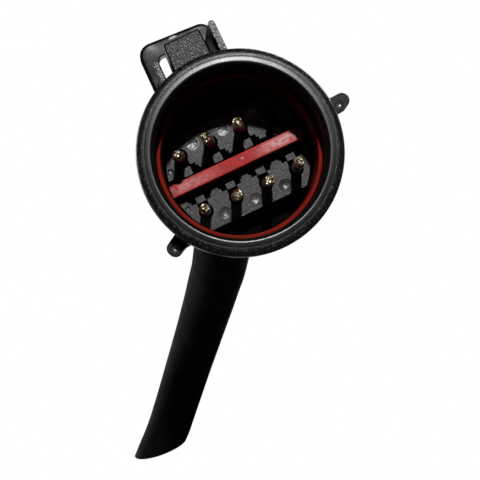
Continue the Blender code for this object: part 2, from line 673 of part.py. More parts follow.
def ring(shape, stations, index, radius, sides=24):
    """One ring of points square to the path. The first ring is flat against the nozzle."""
    forward = Vector((0, 1, 0))
    here = stations[index][0]
    before = stations[max(index - 1, 0)][0]
    after = stations[min(index + 1, len(stations) - 1)][0]
    turn = forward.rotation_difference(after - before if index else forward)
    angles = [math.tau * side / sides for side in range(sides)]
    return [
        shape.verts.new(here + turn @ Vector((radius * math.cos(a), 0, radius * math.sin(a)))) for a in angles
    ]


def fill_between(shape, first, last):
    """Faces between two rings that have as many points."""
    for side in range(len(first)):
        ahead = (side + 1) % len(first)
        shape.faces.new((first[side], first[ahead], last[ahead], last[side]))


def main():
    clear_scene()
    black = make_material("shell_plastic", (0.020, 0.020, 0.022), 0.42)
    grey = make_material("block_plastic", (0.110, 0.110, 0.108), 0.62)
    red = make_material("wedge_plastic", (0.52, 0.025, 0.045), 0.40)
    orange = make_material("seal_silicone", (0.36, 0.028, 0.008), 0.50)
    metal = make_material("contact_metal", (0.74, 0.66, 0.50), 0.25, 1.0)
    rubber = make_material("boot_rubber", (0.015, 0.015, 0.015), 0.65)
    jacket = make_material("lead_jacket", (0.012, 0.012, 0.012), 0.55)
    make_shell(black)
    make_tongue(black)
    make_seal(orange)
    make_block(grey)
    make_wedge(red)
    for row, number, x, z in contact_places():
        if (row, number) == EMPTY_PLACE:
            make_plug(x, z, orange)
            continue
        make_contact(row, number, x, z, metal)
        make_core_wire(row, number, x, z, CORE_COLOURS[row][number - 1])
    make_wire_seal(orange)
    make_retainer(black)
    make_cover(black)
    make_boot(rubber)
    make_lead(jacket)


main()
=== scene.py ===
"""Looks of the round sealed connector half: the photo's camera and light, fine shapes and finishes.

Shapes are written in millimetres and become metres when they are made into pieces. Camera, light and
finishes are in metres. The mouth opens towards -Y, the clip loop points to +Z and the contact rows run
along X. Depth is measured along Y from the front of the rim.
"""

import math
from collections import namedtuple

import bmesh
import bpy
from mathutils import Matrix, Vector


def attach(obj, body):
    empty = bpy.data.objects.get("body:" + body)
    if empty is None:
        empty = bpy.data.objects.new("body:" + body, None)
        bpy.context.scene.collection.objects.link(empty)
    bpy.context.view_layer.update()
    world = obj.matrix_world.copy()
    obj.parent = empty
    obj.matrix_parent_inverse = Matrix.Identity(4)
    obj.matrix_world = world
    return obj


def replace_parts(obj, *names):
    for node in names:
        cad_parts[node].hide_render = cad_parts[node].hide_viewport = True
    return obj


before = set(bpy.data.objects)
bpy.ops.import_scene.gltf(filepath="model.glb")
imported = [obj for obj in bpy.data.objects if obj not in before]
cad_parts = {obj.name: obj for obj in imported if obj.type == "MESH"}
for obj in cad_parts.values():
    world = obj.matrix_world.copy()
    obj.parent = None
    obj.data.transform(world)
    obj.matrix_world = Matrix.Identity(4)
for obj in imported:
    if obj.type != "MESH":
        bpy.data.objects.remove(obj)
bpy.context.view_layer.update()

MM = 0.001
OVERLAP = 0.5  # how far a shape reaches past the face that it joins or cuts

# Camera: its place is in metres, its lens and sensor are in millimetres
CAMERA_PLACE = (-0.01172, -0.15922, -0.01615)
CAMERA_FORWARD = (0.0400, 0.9987, 0.0319)
CAMERA_UP = (0.4283, -0.0466, 0.9024)
CAMERA_LENS = 86.8
SENSOR_WIDTH = 36.0

# Light, in metres
KEY_TARGET = (0.0, 0.01, 0.0)
KEY_ANGLE = 27.0  # degrees between the key light and the mouth's axis
KEY_DISTANCE = 0.55
KEY_SIZE = 0.022
KEY_LEVEL = 0.95  # how bright a white face square to the light is
BACK_TARGET = (0.0, 0.08, 0.0)
BACK_WAYS = {"back_left": (-0.6, 0.7, 0.38), "back_right": (0.6, 0.7, 0.38)}
BACK_DISTANCE = 0.9
BACK_SIZE = 0.5
BACK_LEVEL = 0.50
FILL_LEVEL = 0.008

# Floor, in metres
FLOOR_HEIGHT = -0.15
FLOOR_HALF_WIDTH = 2.5
FLOOR_MIDDLE = (0.0, 0.07, FLOOR_HEIGHT)
FLOOR_FADE = (0.15, 0.36)  # distances from the middle between which the paper turns white
FLOOR_GLOW = 0.4  # share of plain white at the middle
FLOOR_TONES = (0.06, 0.86)  # for the light it sheds, and where it is seen

# Rear cover
COVER_INSIDE = 9.972
SKIRT_RADIUS = 11.172
SKIRT_FRONT = 28.6
COVER_FRONT = 30.5  # the flange's front face
CONE_FRONT = 31.5
NOZZLE_RADIUS = 7.9
NOZZLE_BORE = 6.1
NOZZLE_FRONT = 35.0
NOZZLE_REAR = 37.0

# Lead and boot
LEAD_INSIDE = 35.0  # depth at which the lead starts inside the nozzle
LEAD_DIAMETER = 11.6
LEAD_SPACING = 2.0  # from one ring of the lead to the next
LEAD_ROUTE = (  # middle line of the free lead, from the nozzle's rear to the cut end
    (0.0, 0.0, 0.0), (-0.2, 5.0, -0.2), (-0.7, 10.5, -0.9), (-1.6, 17.0, -2.1), (-3.0, 24.5, -4.0),
    (-4.7, 32.5, -6.4), (-6.8, 43.0, -9.3), (-8.7, 52.0, -11.9), (-10.9, 61.0, -14.3), (-13.2, 70.0, -16.9),
    (-15.7, 79.0, -19.6), (-18.5, 88.0, -22.6), (-21.7, 96.5, -26.0), (-25.3, 105.0, -29.8),
    (-29.3, 113.0, -34.1), (-33.8, 120.8, -38.9), (-38.9, 127.7, -44.2), (-43.7, 132.9, -48.6),
)
CURVE_STEPS = 8  # between two points of the route
CUT_SLANT = 1.2  # how far the cut runs along the lead for each step across it
CUT_TURN = 30.0  # degrees by which the cut is turned about the lead
CUT_OFFSET = 0.42  # how far beside the middle line the cut passes the line's end
CUT_FADE = 18.0  # length over which the lead's rings lean into the slant
JACKET_BORE = 4.3
FILLER_RADIUS = 4.25
WIRE_RADIUS = 1.18
WIRE_CIRCLE = 2.75  # radius of the circle on which all wires but the last lie
STRAND_RADIUS = 0.62
FILLER_ENDS = (-1.5, -0.25)  # where filler, wires and strands start and end along the lead, from the cut
WIRE_ENDS = (-1.2, 0.18)
STRAND_ENDS = (-0.9, 0.42)
WIRE_SIDES = 28
BOOT_SPACING = 0.35
BOOT_STEPS = (1, 64)  # steps of the middle line between which it lies
BOOT_RADII = (7.9, 6.9)  # over the ribs, at the front and at the rear
BOOT_BORE = 5.92
BOOT_RIBS = 5
BOOT_VALLEY = 0.6  # depth between the ribs, at the front
BOOT_PLAIN = 6.1  # radius at which the ribs would fade out
BOOT_EDGE = 0.25  # rounding of both ends

# Contacts. The fourth place of the top row is empty.
PIN_PITCH = 5.0
ROW_HEIGHT = 4.55
ROWS = {"top": ROW_HEIGHT, "bottom": -ROW_HEIGHT}
PLACES_IN_ROW = 4
PIN_RADIUS = 0.83
PIN_TIP = 5.2
TIP_RADIUS = 0.5
TIP_LENGTH = 0.3  # of the rounded tip
RING_RADIUS = 0.64  # of the small step behind the tip
RING_DEPTH = 0.42  # how far it is behind the tip
NOSE_LENGTH = 0.7  # over which the pin widens to its full radius
SHAFT_FRONT = 6.5
STOP_RADIUS = 1.2
STOP_FRONT = 17.5
STOP_REAR = 18.5
CRIMP_RADIUS = 1.1
CRIMP_FRONT = 19.0
CRIMP_REAR = 22.0
PIN_LEAN = {  # how far each tip is bent aside, along X and Z
    ("top", 1): (-0.55, -0.69), ("top", 2): (-0.77, 0.05), ("top", 3): (-0.69, 0.01),
    ("bottom", 1): (-0.28, -0.12), ("bottom", 2): (-0.12, -0.32), ("bottom", 3): (-0.03, -0.46),
    ("bottom", 4): (-0.12, 0.21),
}

# Terminal block
FACE_DEPTH = 14.1
BLOCK_RADIUS = 10.822
BLOCK_FLAT = 7.55
FLANGE_RADIUS = 11.742
FLANGE_FRONT = 18.6
FLANGE_REAR = 21.8
SLOT_END = 10.922  # half the length of the wedge's slot
SLOT_HALF = 1.225  # half its height
SLOT_REAR = 20.5
LANE_HALF = 1.85  # half the height of its wider front part
WINDOW_DEPTH = 5.0
WINDOW_HALF = 1.95  # half the width of a lock window by the wedge
WINDOW_SPAN = (0.6, 2.4)  # how far from the wedge's middle it starts and ends
STEP_HALF = 1.6  # half the width of the narrower step
STEP_END = 2.9
CHANNEL_HALF = 0.85  # half the width of the channel to the pin
HOLE_RADIUS = 1.13  # of the opening round the pin
PIN_BORE = 1.5
PIN_BORE_START = 3.1  # how far behind the face the pins' bores start
FINGER_HALF = 0.7
FINGER_ROOT = 1.4
FINGER_REACH = {"top": 2.7, "bottom": 3.0}
FINGER_LENGTH = 5.4
DIMPLE_RADIUS = 1.0
DIMPLES = ((5.58, 0.18), (-6.08, 0.42))  # height and depth of the large ones in each row
SMALL_DIMPLE_RADIUS = 0.45
SMALL_DIMPLE_DEPTH = 0.42
SMALL_DIMPLE_PLACE = (9.82, 3.1)  # X and Z, on both sides and in both rows

# Body
BORE_RADIUS = 12.042
BODY_RADIUS = 13.342
BODY_REAR = 30.2
BODY_TAPER = 0.3
RIM_RADIUS = 14.602
RIM_REAR = 4.6
MOUTH_RADIUS = 12.622
LAND_RADIUS = 13.302
LEDGE_RADIUS = 9.972
LEDGE_FRONT = 22.1
LEDGE_REAR = 23.3
SOCKET_RADIUS = 11.472

# Side lugs
LUG_FRONT = 4.2
LUG_REAR = 8.8
LUG_HALF = 1.1
LUG_FOOT = 12.7  # radius at which a lug ends inside the body's wall
LUG_LOWER_ROOT = 1.0
HOLLOW_RADIUS = 0.62
HOLLOW_LIFT = 0.2  # how far the hollow's centre is in front of the lug's face
Lug = namedtuple("Lug", "angle tip hollow_reach hollow_shift upper_root")
LUGS = (  # the angle is in degrees from +X towards +Z
    Lug(2.85, 17.62, 15.9, -0.35, 1.0),
    Lug(209.8, 17.30, 16.2, 0.15, 2.4),
)

# Clip loop, rails, post and tongue
LOOP_FRONT = 24.3
LOOP_REAR = 27.0
LOOP_FOOT = 11.2
LOOP_LEFT_FOOT = -6.6  # the left leg is wider at its foot
LOOP_SIDES = (-6.4, 6.2)
LOOP_TOPS = (24.55, 23.85)  # heights of the tilted top edge on the left and on the right
LOOP_CORNER = 2.2
LOOP_WINDOW_SIDES = (-3.85, 3.8)
LOOP_WINDOW_TOP = 21.642
LOOP_WINDOW_CORNER = 0.9
MARK_HALVES = (0.8, 0.25, 0.3)  # half of each size of the small raised mark, whose pale colour is a painted glint
MARK_PLACE = (-0.2, LOOP_FRONT + 0.1, 23.55)
CLIP_FRONT = 9.0  # front faces of the rails and of the tongue's head
RAIL_REAR = 24.8
RAIL_FOOT = 11.5
Rail = namedtuple("Rail", "name low high top corner rise")
RAILS = (  # the rise is how much higher the top edge is at its rear
    Rail("clip_rail_right", 4.36, 5.42, 20.242, 0.5, 1.3),
    Rail("clip_rail_left", -5.45, -4.66, 18.142, 0.3, 0.0),
)
POST_HALF = 1.9
POST_FOOT = 12.4
POST_TOP = 18.342
POST_FRONT = 22.8
HEAD_LOW = 15.642
HEAD_LOW_ENDS = (-3.13, 3.05)
HEAD_TOP = 19.942
HEAD_TOP_HALF = 2.9
HEAD_REAR = 16.5
ARM_HALF = 1.6
ARM_LOW = 16.192
ARM_TOP = 17.892
ARM_FRONT = 16.0
ARM_REAR = 22.5

# Seal
SEAL_INSIDE = 11.34
SEAL_FRONT = 5.6
SEAL_REAR = 18.3
SEAL_ROOT = 11.122
SEAL_NECK = (13.0, 14.0)  # depths between which the inside narrows to its root
SEAL_BULGE = 11.94  # outer radius of the fuller front edge
SEAL_SHOULDER = (8.0, 9.0)  # depths between which the outside falls back behind it
SEAL_RIBBED = (12.0, 6.6)  # depths between which the inside is ribbed
SEAL_RIBS = (8.1, 10.6)  # depths of the ribs' crests
SEAL_RIB_HEIGHT = 0.08
SEAL_RIB_WIDTH = 0.32

# Wedge
WEDGE_FRONT = 11.5
WEDGE_REAR = 20.2
WEDGE_END = 10.622
WEDGE_LEFT_END = 11.05
WEDGE_LEVEL = (-9.922, 9.322)  # X between which its front is level
WEDGE_SLOPES = (0.75, 1.3)  # how far its left and right ends slope back
WEDGE_STEP = (13.2, 13.6)  # depths between which the longer left end narrows
WEDGE_HALF = 0.925

# Colours of the wires, from the first contact of the top row to the last of the bottom row
INSULATION = {
    "insulation_red": (0.55, 0.04, 0.03), "insulation_black": (0.02, 0.02, 0.02),
    "insulation_yellow": (0.60, 0.55, 0.05), "insulation_white": (0.70, 0.70, 0.68),
    "insulation_blue": (0.10, 0.18, 0.45), "insulation_brown": (0.35, 0.16, 0.06),
    "insulation_orange": (0.60, 0.25, 0.04),
}

# Moulded finishes. Tones are the grey levels of dark patches, light patches and specks, rough is the
# roughness of dark and of light patches, and specks are the noise values between which specks come up.
# Grain, depth, waves and wave size are in metres.
MOULDED = {
    "shell_plastic": dict(
        tones=(0.003, 0.005, 0.012), grain=0.00018, depth=0.000018, rough=(0.33, 0.39), specular=0.8,
    ),
    "loop_plastic": dict(
        tones=(0.003, 0.005, 0.012), grain=0.00025, depth=0.000006,
        rough=(0.18, 0.26), specular=0.35, waves=0.00022,
    ),
    # The grain is real; its bright specks are painted glints.
    "rim_grain_and_painted_glints": dict(
        tones=(0.002, 0.004, 0.085), grain=0.00026, depth=0.00005, rough=(0.36, 0.44), specks=(0.55, 0.69),
    ),
    "bore_plastic": dict(
        tones=(0.003, 0.005, 0.008), grain=0.00020, depth=0.000006, rough=(0.45, 0.60), specular=0.08,
    ),
    # The texture is real; its bright specks are painted glints.
    "latch_texture_and_painted_glints": dict(
        tones=(0.004, 0.008, 0.260), grain=0.00023, depth=0.00008,
        rough=(0.34, 0.44), specular=0.25, specks=(0.56, 0.64),
    ),
    # The texture is real; its bright specks are painted glints.
    "rail_texture_and_painted_glints": dict(
        tones=(0.012, 0.022, 0.420), grain=0.00023, depth=0.00008,
        rough=(0.34, 0.44), specular=0.50, specks=(0.54, 0.63),
    ),
    "lug_plastic": dict(
        tones=(0.008, 0.014, 0.050), grain=0.00022, depth=0.00003, rough=(0.40, 0.50), specular=0.15,
    ),
    "block_plastic": dict(
        tones=(0.010, 0.018, 0.130), grain=0.00021, depth=0.00006, rough=(0.38, 0.46), specular=0.4,
    ),
    # Near-black and dull: painted shade for the block's windows and deeper faces and for the rails' sides.
    "window_plastic_painted_shade": dict(
        tones=(0.0012, 0.0020, 0.0030), grain=0.00030, depth=0.00001, rough=(0.50, 0.65), specular=0.02,
    ),
    # Polished, and lighter than the block: the lighter colour is a painted highlight.
    "dimple_plastic_painted_highlight": dict(
        tones=(0.040, 0.070, 0.090), grain=0.00040, depth=0.000006,
        rough=(0.30, 0.38), specular=1.0, waves=0.00016, wave_size=0.00045,
    ),
    # Pale colour of the loop's small mark: a painted glint.
    "painted_glint_mark": dict(
        tones=(0.30, 0.45, 0.60), grain=0.00025, depth=0.00002, rough=(0.35, 0.45), specular=0.5,
    ),
    "boot_rubber": dict(
        tones=(0.007, 0.011, 0.018), grain=0.00030, depth=0.00002, rough=(0.5, 0.65), specular=0.20,
    ),
    "lead_filler": dict(
        tones=(0.05, 0.09, 0.16), grain=0.00030, depth=0.00006, rough=(0.7, 0.85), specular=0.1,
    ),
}
CLOUDY = (0.3, 0.7)  # noise values between which a cloudy pattern changes

Place = namedtuple("Place", "point forward side up")


class NodeTree:
    """The shader nodes of a material or of the world, put together step by step."""

    def __init__(self, owner):
        owner.use_nodes = True
        self.nodes = owner.node_tree.nodes
        self.links = owner.node_tree.links

    def feed(self, socket, value):
        """Links an output to a socket, or sets a plain value on it."""
        if isinstance(value, bpy.types.NodeSocket):
            self.links.new(value, socket)
        elif socket.type == "RGBA":
            socket.default_value = (*value, 1.0)
        else:
            socket.default_value = value

    def add(self, kind, *values, operation=None):
        """A new node whose first inputs get these values."""
        node = self.nodes.new(kind)
        if operation:
            node.operation = operation
        for socket, value in zip(node.inputs, values):
            self.feed(socket, value)
        return node

    def calculate(self, operation, *values):
        """A number worked out from outputs and plain values."""
        return self.add("ShaderNodeMath", *values, operation=operation).outputs[0]

    def distance(self, place, point):
        """How far coordinates are from a point."""
        return self.add("ShaderNodeVectorMath", place, point, operation="DISTANCE").outputs["Value"]

    def coordinate(self, place, axis):
        """One of the coordinates of a place."""
        return self.add("ShaderNodeSeparateXYZ", place).outputs[axis]

    def spread(self, value, low, high, to_low=0.0, to_high=1.0):
        """Maps low..high smoothly to to_low..to_high."""
        node = self.add("ShaderNodeMapRange", value, low, high, to_low, to_high)
        node.interpolation_type = "SMOOTHSTEP"
        return node.outputs["Result"]

    def show_blend(self, share, first, second, output):
        """Shows two shaders, mixed by a share, on an output node of that kind."""
        blend = self.add("ShaderNodeMixShader", share, first.outputs[0], second.outputs[0])
        self.links.new(blend.outputs[0], self.nodes.new(output).inputs["Surface"])


class Finish(NodeTree):
    """A procedural material made of noise in the object's own coordinates."""

    def __init__(self, name, metallic=0.0, specular=0.2):
        self.material = bpy.data.materials.new(name)
        super().__init__(self.material)
        self.shader = self.nodes["Principled BSDF"]
        self.shader.inputs["Metallic"].default_value = metallic
        self.shader.inputs["Specular IOR Level"].default_value = specular
        self.place = self.nodes.new("ShaderNodeTexCoord").outputs["Object"]
        self.relief = None

    def scaled(self, factors):
        """The object's coordinates, each times its factor."""
        return self.add("ShaderNodeVectorMath", self.place, factors, operation="MULTIPLY").outputs["Vector"]

    def noise(self, size, detail=2.0, stretch=None):
        """Noise whose spots are about that size, in metres. Stretch scales the coordinates first."""
        node = self.nodes.new("ShaderNodeTexNoise")
        node.inputs["Scale"].default_value = 1 / size
        node.inputs["Detail"].default_value = detail
        place = self.scaled(stretch) if stretch else self.place
        self.links.new(place, node.inputs["Vector"])
        return node.outputs["Fac"]

    def axis(self, name):
        """One of the object's coordinates."""
        return self.coordinate(self.place, name)

    def mix(self, share, first, second):
        """A colour between two others."""
        node = self.nodes.new("ShaderNodeMix")
        node.data_type = "RGBA"
        self.feed(node.inputs["Factor"], share)
        colours = [socket for socket in node.inputs if socket.type == "RGBA"]
        self.feed(colours[0], first)
        self.feed(colours[1], second)
        return next(socket for socket in node.outputs if socket.type == "RGBA")

    def colour(self, value):
        self.feed(self.shader.inputs["Base Color"], value)

    def roughness(self, pattern, low, high):
        """Roughness that goes from low to high with a cloudy pattern."""
        self.feed(self.shader.inputs["Roughness"], self.spread(pattern, *CLOUDY, low, high))

    def bump(self, height, depth):
        """Adds relief of that depth, in metres, on top of any earlier relief."""
        node = self.nodes.new("ShaderNodeBump")
        node.inputs["Distance"].default_value = depth
        self.links.new(height, node.inputs["Height"])
        if self.relief:
            self.links.new(self.relief, node.inputs["Normal"])
        self.relief = node.outputs["Normal"]
        self.links.new(self.relief, self.shader.inputs["Normal"])


def moulded(
    name, tones, grain, depth, rough, specular=0.5, specks=(0.50, 0.72), waves=0.0, wave_size=0.005,
):
    """Moulded plastic or rubber: cloudy patches, lighter specks, a fine grain in relief, and maybe waves."""
    finish = Finish(name, specular=specular)
    fine = finish.noise(grain, 3.0)
    cloud = finish.noise(0.004, 4.0)
    dark, light, speck = [(tone,) * 3 for tone in tones]
    base = finish.mix(finish.spread(cloud, *CLOUDY), dark, light)
    finish.colour(finish.mix(finish.spread(fine, *specks), base, speck))
    finish.roughness(cloud, *rough)
    finish.bump(fine, depth)
    if waves:
        finish.bump(finish.noise(wave_size, 1.0), waves)
    return finish.material


def wedge_finish():
    """Crimson plastic, mottled, with pale streaks of painted sheen towards both ends and a small pale spot
    that paints a glint at the gate mark.
    """
    finish = Finish("wedge_plastic", specular=0.18)
    cloud = finish.noise(0.0016, 4.0)
    fine = finish.noise(0.00018, 3.0)
    base = finish.mix(finish.spread(cloud, 0.32, 0.68), (0.32, 0.012, 0.012), (0.47, 0.021, 0.020))
    along = finish.axis("X")
    right_end = finish.spread(along, 0.0015, 0.0065)
    left_end = finish.spread(along, -0.0085, -0.0010, 0.55, 0.0)
    ends = finish.calculate("ADD", right_end, left_end)
    middle = finish.spread(finish.calculate("ABSOLUTE", finish.axis("Z")), 0.00045, 0.00080, 1.0, 0.25)
    streaks = finish.spread(finish.noise(0.00036, 4.0, (0.45, 1.0, 1.0)), 0.26, 0.62)
    # Painted sheen: pale streaks along the middle of the front, towards both ends.
    painted_sheen = finish.calculate("MULTIPLY", ends, finish.calculate("MULTIPLY", middle, streaks))
    base = finish.mix(finish.calculate("MULTIPLY", painted_sheen, 0.85), base, (0.70, 0.40, 0.39))
    base = finish.mix(finish.spread(fine, 0.52, 0.75, 0.0, 0.4), base, (0.50, 0.12, 0.12))
    # Painted glint: a small pale spot at the gate mark.
    from_gate = finish.distance(finish.scaled((1.0, 0.0, 1.0)), (0.00065, 0.0, 0.00015))
    mark = finish.spread(from_gate, 0.00010, 0.00030, 0.4, 0.0)
    finish.colour(finish.mix(mark, base, (0.75, 0.45, 0.42)))
    finish.roughness(cloud, 0.45, 0.60)
    finish.bump(fine, 0.000012)
    finish.bump(cloud, 0.00006)
    return finish.material


def seal_finish():
    """Orange-red silicone, slightly dusty, with painted shade further in and under the top."""
    finish = Finish("seal_silicone", specular=0.05)
    cloud = finish.noise(0.0030, 4.0)
    dust = finish.spread(finish.noise(0.00025, 3.0), 0.60, 0.78, 0.0, 0.35)
    base = finish.mix(finish.spread(cloud, *CLOUDY), (0.145, 0.0075, 0.003), (0.195, 0.010, 0.004))
    base = finish.mix(dust, base, (0.20, 0.035, 0.02))
    # Painted shade: the colour darkens under the top just behind the front edge, and everywhere further in.
    depth = finish.axis("Y")
    upper = finish.spread(finish.axis("Z"), 0.001, 0.007)
    painted_shade = finish.calculate("MULTIPLY", finish.spread(depth, 0.0054, 0.0062), upper)
    painted_shade = finish.calculate("MAXIMUM", painted_shade, finish.spread(depth, 0.0080, 0.0115))
    finish.colour(finish.mix(painted_shade, base, (0.02, 0.001, 0.0005)))
    finish.roughness(cloud, 0.42, 0.62)
    finish.bump(finish.noise(0.0005, 3.0), 0.00003)
    return finish.material


def metal_finish():
    """Plated contact metal with dents and fine tooling marks, bright at the tip; behind it a darker reddish
    brown is painted shade and a painted reflection of the seal.
    """
    finish = Finish("contact_metal", metallic=1.0, specular=0.5)
    cloud = finish.noise(0.0009, 4.0)
    lines = finish.noise(0.00012, 2.0, (1.0, 6.0, 1.0))
    base = finish.mix(finish.spread(cloud, 0.35, 0.65), (0.40, 0.32, 0.19), (0.84, 0.70, 0.47))
    # Painted shade and painted red reflection: the shaft behind the tip turns dark reddish brown.
    behind = finish.spread(finish.axis("Y"), 0.0056, 0.0068)
    finish.colour(finish.mix(behind, base, (0.20, 0.10, 0.07)))
    finish.roughness(cloud, 0.12, 0.24)
    finish.bump(finish.noise(0.00022, 2.0), 0.00030)
    finish.bump(lines, 0.000015)
    return finish.material


def jacket_finish():
    """Matte black lead jacket."""
    finish = Finish("lead_jacket", specular=0.012)
    cloud = finish.noise(0.006, 4.0)
    fine = finish.noise(0.00022, 3.0)
    clouds = finish.spread(cloud, *CLOUDY)
    finish.colour(finish.mix(clouds, (0.0085, 0.0082, 0.0070), (0.0125, 0.0120, 0.0105)))
    finish.roughness(cloud, 0.50, 0.70)
    finish.bump(fine, 0.00003)
    return finish.material


def insulation_finish(name, colour):
    """Wire insulation in one hue, with slight shade changes."""
    finish = Finish(name, specular=0.3)
    cloud = finish.noise(0.0015, 3.0)
    shaded = tuple(0.85 * channel for channel in colour)
    finish.colour(finish.mix(finish.spread(cloud, *CLOUDY), shaded, colour))
    finish.roughness(cloud, 0.4, 0.55)
    finish.bump(finish.noise(0.0003, 2.0), 0.00001)
    return finish.material


def copper_finish():
    """Bare strand ends: copper broken up by fine dark gaps."""
    finish = Finish("strand_copper", metallic=1.0)
    strands = finish.noise(0.00018, 2.0)
    finish.colour(finish.mix(finish.spread(strands, 0.40, 0.60), (0.30, 0.11, 0.05), (0.80, 0.38, 0.20)))
    finish.roughness(strands, 0.55, 0.30)
    finish.bump(strands, 0.00006)
    return finish.material


def add_object(name, data):
    """A new object in the scene."""
    item = bpy.data.objects.new(name, data)
    bpy.context.scene.collection.objects.link(item)
    return item


def add_mesh(name, shape):
    """A new object in the scene, made of a shape."""
    mesh = bpy.data.meshes.new(name)
    shape.to_mesh(mesh)
    shape.free()
    return add_object(name, mesh)


def add_camera():
    """The camera that took the photo."""
    forward = Vector(CAMERA_FORWARD).normalized()
    right = forward.cross(Vector(CAMERA_UP)).normalized()
    up = right.cross(forward)
    lens = bpy.data.cameras.new("photo_camera")
    lens.lens = CAMERA_LENS
    lens.sensor_width = SENSOR_WIDTH
    lens.clip_start = 0.01
    lens.clip_end = 20.0
    item = add_object("photo_camera", lens)
    turn = Matrix((right, up, -forward)).transposed().to_4x4()
    item.matrix_world = Matrix.Translation(CAMERA_PLACE) @ turn
    bpy.context.scene.camera = item


def add_lights():
    """A small key light above the mouth's axis, as the camera sees it, and soft lights behind the mouth."""
    across = Vector((CAMERA_UP[0], 0.0, CAMERA_UP[2])).normalized()
    angle = math.radians(KEY_ANGLE)
    towards = across * math.sin(angle) + Vector((0, -1, 0)) * math.cos(angle)
    add_lamp("key", KEY_TARGET, towards, KEY_DISTANCE, KEY_SIZE, KEY_LEVEL)
    for name, way in BACK_WAYS.items():
        add_lamp(name, BACK_TARGET, Vector(way).normalized(), BACK_DISTANCE, BACK_SIZE, BACK_LEVEL)


def add_lamp(name, target, towards, distance, size, level):
    """A disc lamp that lights a white face at the target to that level."""
    lamp = bpy.data.lights.new(name, "AREA")
    lamp.shape = "DISK"
    lamp.size = size
    lamp.energy = level * math.pi ** 2 * distance ** 2
    turn = towards.to_track_quat("Z", "Y").to_matrix().to_4x4()
    add_object(name, lamp).matrix_world = Matrix.Translation(Vector(target) + towards * distance) @ turn


def seen_directly(tree, depth, low, high):
    """1 for camera rays. For mirrored and refracted rays it rises from 0 to 1 between two depths."""
    path = tree.nodes.new("ShaderNodeLightPath").outputs
    bounced = tree.calculate("MAXIMUM", path["Is Glossy Ray"], path["Is Transmission Ray"])
    shown = tree.calculate("MULTIPLY", bounced, tree.spread(depth, low, high))
    return tree.calculate("MAXIMUM", shown, path["Is Camera Ray"])


def add_world():
    """White surroundings where they are seen, and a dim fill light."""
    world = bpy.data.worlds.new("studio")
    bpy.context.scene.world = world
    tree = NodeTree(world)
    tree.nodes.clear()
    direction = tree.nodes.new("ShaderNodeTexCoord").outputs["Generated"]
    direct = seen_directly(tree, tree.coordinate(direction, "Y"), 0.995, 1.0)
    fill = tree.add("ShaderNodeBackground", (1.0, 1.0, 1.0), FILL_LEVEL)
    white = tree.add("ShaderNodeBackground", (1.0, 1.0, 1.0), 1.0)
    tree.show_blend(direct, fill, white, "ShaderNodeOutputWorld")


def add_floor():
    """A wide floor below the lead. It belongs to the stage, not to the part."""
    shape = bmesh.new()
    bmesh.ops.create_grid(shape, x_segments=1, y_segments=1, size=FLOOR_HALF_WIDTH)
    bmesh.ops.translate(shape, vec=(0, 0, FLOOR_HEIGHT), verts=shape.verts)
    floor = add_mesh("floor", shape)
    floor.data.materials.append(floor_finish())


def floor_finish():
    """Pale paper that sheds little light on the object, and is plain white where it is far away."""
    material = bpy.data.materials.new("floor_paper")
    tree = NodeTree(material)
    tree.nodes.clear()
    place = tree.nodes.new("ShaderNodeTexCoord").outputs["Object"]
    direct = seen_directly(tree, tree.coordinate(place, "Y"), 0.5, 1.0)
    dark, pale = FLOOR_TONES
    paper = tree.add("ShaderNodeBsdfDiffuse", tree.calculate("MULTIPLY_ADD", direct, pale - dark, dark))
    glow = tree.add("ShaderNodeEmission", (1.0, 1.0, 1.0), 1.0)
    far = tree.spread(tree.distance(place, FLOOR_MIDDLE), *FLOOR_FADE, FLOOR_GLOW, 1.0)
    tree.show_blend(tree.calculate("MULTIPLY", far, direct), paper, glow, "ShaderNodeOutputMaterial")
    return material


def add_piece(name, shape, material, body="connector", sharp=40):
    """Turns a shape in millimetres into a piece that rides a body."""
    bmesh.ops.scale(shape, vec=(MM, MM, MM), verts=shape.verts)
    bmesh.ops.recalc_face_normals(shape, faces=shape.faces)
    item = add_mesh(name, shape)
    item.data.shade_smooth()
    item.data.set_sharp_from_angle(angle=math.radians(sharp))
    item.data.materials.append(material)
    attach(item, body)
    return item


def soften(item, width, segments=3, material=-1):
    """Rounds an item's hard edges. The rounding can have a material number of its own."""
    bevel = item.modifiers.new("soft edges", "BEVEL")
    bevel.width = width * MM
    bevel.segments = segments
    bevel.material = material
    bevel.limit_method = "ANGLE"
    bevel.angle_limit = math.radians(35)
    item.modifiers.new("even shading", "WEIGHTED_NORMAL").keep_sharp = True
    return item


def paint_deeper(item, *layers):
    """Adds (depth, material) layers, shallow ones first. Each colours the faces that lie deeper."""
    for _, material in layers:
        item.data.materials.append(material)
    for face in item.data.polygons:
        face.material_index = sum(face.center.y / MM > depth for depth, _ in layers)


def arc(centre, radius, first, last, steps):
    """Points on a circle, by angles in degrees."""
    angles = [math.radians(first + (last - first) * step / steps) for step in range(steps + 1)]
    return [(centre[0] + radius * math.cos(a), centre[1] + radius * math.sin(a)) for a in angles]


def quarter(steps):
    """Angles from 0 to 90 degrees, in radians."""
    return [math.radians(90 * step / steps) for step in range(steps + 1)]


def rounded(corners, steps=6):
    """Outline through (a, b, radius) corners, with each corner rounded to its radius."""
    points = []
    for index, (a, b, radius) in enumerate(corners):
        here = Vector((a, b))
        if radius == 0:
            points.append((a, b))
            continue
        back = (Vector(corners[index - 1][:2]) - here).normalized()
        ahead = (Vector(corners[(index + 1) % len(corners)][:2]) - here).normalized()
        half = back.angle(ahead) / 2
        centre = here + (back + ahead).normalized() * radius / math.sin(half)
        first = here + back * radius / math.tan(half) - centre
        swing = math.degrees(first.angle_signed(here + ahead * radius / math.tan(half) - centre))
        start = math.degrees(math.atan2(first.y, first.x))
        points += arc(centre, radius, start, start - swing, steps)
    return points


